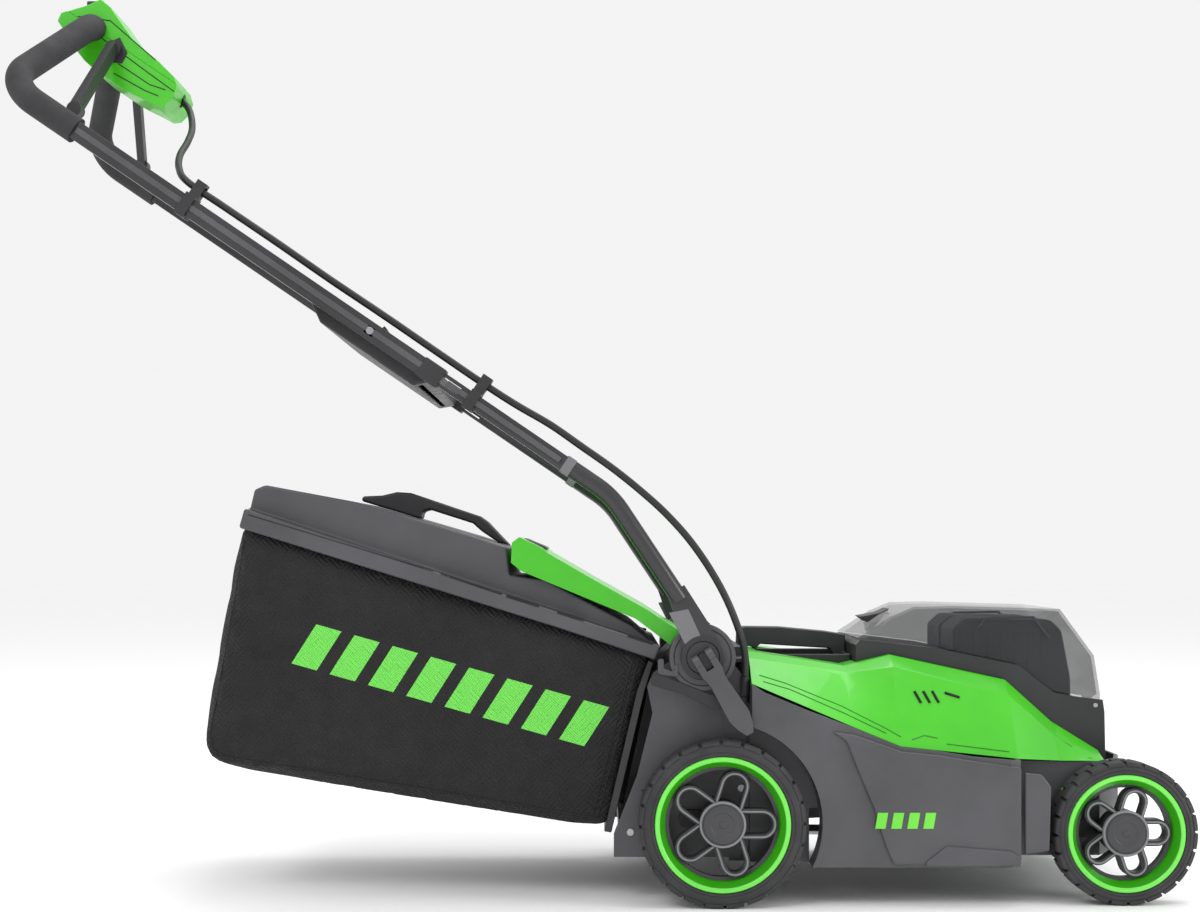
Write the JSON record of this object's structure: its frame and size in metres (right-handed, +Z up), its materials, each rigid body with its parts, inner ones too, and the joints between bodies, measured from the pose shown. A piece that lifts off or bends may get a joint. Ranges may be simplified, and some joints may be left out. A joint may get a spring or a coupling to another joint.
{
  "type": "push lawn mower",
  "caption": "Battery push lawn mower with folding telescopic handle, rear grass bag, flap, clear battery lid and petal-spoked wheels.",
  "frame": {"origin": "on the ground under the middle of the machine", "axes": "+X forward, +Y the mower's left, +Z up"},
  "size_m": [1.2794, 0.4, 1.0175],
  "materials": {
    "housing_grey": "moulded satin grain",
    "housing_dark": "moulded fine grain",
    "cover_green": "satin gloss",
    "rim_green": "satin gloss",
    "tyre": "matte",
    "hub_grey": "moulded satin",
    "tube_black": "powder coat",
    "plate_grey": "powder coat",
    "foam": "foamed rubber",
    "cord": "braided sleeve",
    "bag_cloth": "woven polyester",
    "smoke_clear": "smoked clear plastic",
    "steel": "bright",
    "blade_steel": "black lacquer, ground edges"
  },
  "bodies": {
    "deck": {"deck_housing": "housing_grey", "deck_skirts": "housing_grey", "deck_nose": "housing_grey", "rear_frame_left": "housing_grey", "rear_frame_right": "housing_grey", "top_cover": "cover_green", "battery_housing": "housing_grey", "battery_packs": "housing_dark", "carry_handle": "housing_dark", "discharge_chute": "housing_dark", "blade_motor": "steel", "fasteners": "steel", "cord_gland": "housing_dark", "pivot_bolts": "steel"},
    "rear_axle": {"rear_axle": "steel", "height_lever": "plate_grey"},
    "front_axle": {"front_axle": "steel"},
    "link_rod": {"link_rod": "steel"},
    "blade": {"blade": "blade_steel", "blade_adaptor": "steel", "blade_bolt": "steel"},
    "lower_handle": {"lower_tube_left": "tube_black", "lower_tube_right": "tube_black", "cord_lower": "cord"},
    "upper_handle": {"outer_tube_left": "tube_black", "outer_tube_right": "tube_black", "handle_loop": "tube_black", "foam_grips": "foam", "switch_box_upper": "cover_green", "switch_box_lower": "cover_green", "cross_brace": "housing_dark", "cable_clips": "housing_dark", "cord_upper": "cord", "cord_middle": "cord"},
    "bail": {"bail": "housing_dark"},
    "lock_off_button": {"lock_off_button": "housing_dark"},
    "cam_lever_left": {"cam_lever_left": "housing_dark"},
    "cam_lever_right": {"cam_lever_right": "housing_dark"},
    "lock_lever": {"lock_lever": "housing_dark"},
    "lock_pin_left": {"lock_pin_left": "steel"},
    "lock_pin_right": {"lock_pin_right": "steel"},
    "rear_flap": {"rear_flap": "cover_green"},
    "grass_bag": {"bag_fabric": "bag_cloth", "bag_frame": "housing_dark", "bag_lid": "housing_grey", "bag_handle": "housing_grey"},
    "battery_lid": {"battery_lid": "smoke_clear"},
    "lid_latch": {"lid_latch": "housing_dark"},
    "rear_wheel_left": {"rear_wheel_left_tyre": "tyre", "rear_wheel_left_rim": "rim_green", "rear_wheel_left_hub": "hub_grey"},
    "rear_wheel_right": {"rear_wheel_right_tyre": "tyre", "rear_wheel_right_rim": "rim_green", "rear_wheel_right_hub": "hub_grey"},
    "front_wheel_left": {"front_wheel_left_tyre": "tyre", "front_wheel_left_rim": "rim_green", "front_wheel_left_hub": "hub_grey"},
    "front_wheel_right": {"front_wheel_right_tyre": "tyre", "front_wheel_right_rim": "rim_green", "front_wheel_right_hub": "hub_grey"}
  },
  "joints": [
    {"name": "height_adjust", "type": "hinge", "parent": "deck", "child": "rear_axle", "pos_m": [0.095, 0, 0.089], "axis": [0, 1, 0], "range_deg": [-8, 35]},
    {"name": "front_height", "type": "hinge", "parent": "deck", "child": "front_axle", "pos_m": [0.527, 0, 0.077], "axis": [0, 1, 0], "range_deg": [-8.5, 35.5]},
    {"name": "link_rod_pivot", "type": "hinge", "parent": "rear_axle", "child": "link_rod", "pos_m": [0.095, 0.104, 0.134], "axis": [0, 1, 0], "range_deg": [-35.5, 8.5]},
    {"name": "rear_wheel_right_spin", "type": "hinge", "parent": "rear_axle", "child": "rear_wheel_right", "pos_m": [0.13, -0.179, 0.089], "axis": [0, 1, 0], "continuous": true},
    {"name": "rear_wheel_left_spin", "type": "hinge", "parent": "rear_axle", "child": "rear_wheel_left", "pos_m": [0.13, 0.179, 0.089], "axis": [0, 1, 0], "continuous": true},
    {"name": "front_wheel_right_spin", "type": "hinge", "parent": "front_axle", "child": "front_wheel_right", "pos_m": [0.562, -0.162, 0.077], "axis": [0, 1, 0], "continuous": true},
    {"name": "front_wheel_left_spin", "type": "hinge", "parent": "front_axle", "child": "front_wheel_left", "pos_m": [0.562, 0.162, 0.077], "axis": [0, 1, 0], "continuous": true},
    {"name": "blade_spin", "type": "hinge", "parent": "deck", "child": "blade", "pos_m": [0.325, 0, 0.054], "axis": [0, 0, 1], "continuous": true},
    {"name": "handle_fold", "type": "hinge", "parent": "deck", "child": "lower_handle", "pos_m": [0.11, 0, 0.265], "axis": [0, 1, 0], "range_deg": [0, 110], "deforming": ["cord_lower"]},
    {"name": "handle_telescope", "type": "slide", "parent": "lower_handle", "child": "upper_handle", "axis": [0.8261, 0, -0.5635], "range_m": [0, 0.1], "deforming": ["cord_middle"]},
    {"name": "bail_squeeze", "type": "hinge", "parent": "upper_handle", "child": "bail", "pos_m": [-0.555, 0, 0.952], "axis": [0, 1, 0], "range_deg": [0, 24], "stiffness_Nm_per_rad": 0.6, "springref_deg": -20.05},
    {"name": "lock_off_press", "type": "slide", "parent": "upper_handle", "child": "lock_off_button", "axis": [0, 0, -1], "range_m": [0, 0.003], "stiffness_N_per_m": 400, "springref_m": -0.002},
    {"name": "cam_release_right", "type": "hinge", "parent": "deck", "child": "cam_lever_right", "pos_m": [0.11, -0.19, 0.265], "axis": [-0.8517, 0, -0.524], "range_deg": [0, 95]},
    {"name": "cam_release_left", "type": "hinge", "parent": "deck", "child": "cam_lever_left", "pos_m": [0.11, 0.19, 0.265], "axis": [0.8517, 0, 0.524], "range_deg": [0, 95]},
    {"name": "lock_release", "type": "hinge", "parent": "upper_handle", "child": "lock_lever", "pos_m": [-0.23602, 0, 0.61033], "axis": [0, 1, 0], "range_deg": [0, 16], "stiffness_Nm_per_rad": 0.15, "springref_deg": -11.46},
    {"name": "lock_pin_right_pull", "type": "slide", "parent": "upper_handle", "child": "lock_pin_right", "axis": [0, 1, 0], "range_m": [0, 0.005]},
    {"name": "lock_pin_left_pull", "type": "slide", "parent": "upper_handle", "child": "lock_pin_left", "axis": [0, -1, 0], "range_m": [0, 0.005]},
    {"name": "flap_lift", "type": "hinge", "parent": "deck", "child": "rear_flap", "pos_m": [0.092, 0, 0.282], "axis": [0, 1, 0], "range_deg": [0, 70]},
    {"name": "bag_removal", "type": "slide", "parent": "deck", "child": "grass_bag", "axis": [-1, 0, 0], "range_m": [0, 0.3]},
    {"name": "lid_open", "type": "hinge", "parent": "deck", "child": "battery_lid", "pos_m": [0.552, 0, 0.207], "axis": [0, 1, 0], "range_deg": [0, 95]},
    {"name": "latch_flex", "type": "hinge", "parent": "battery_lid", "child": "lid_latch", "pos_m": [0.322, 0, 0.306], "axis": [0, 1, 0], "range_deg": [0, 6], "stiffness_Nm_per_rad": 0.3}
  ],
  "couplings": [
    {"joint": "front_height", "follows": "height_adjust", "ratio": 1},
    {"joint": "link_rod_pivot", "follows": "height_adjust", "ratio": -1},
    {"joint": "lock_pin_right_pull", "follows": "lock_release", "m_per_rad": 0.0175},
    {"joint": "lock_pin_left_pull", "follows": "lock_release", "m_per_rad": 0.0175}
  ]
}
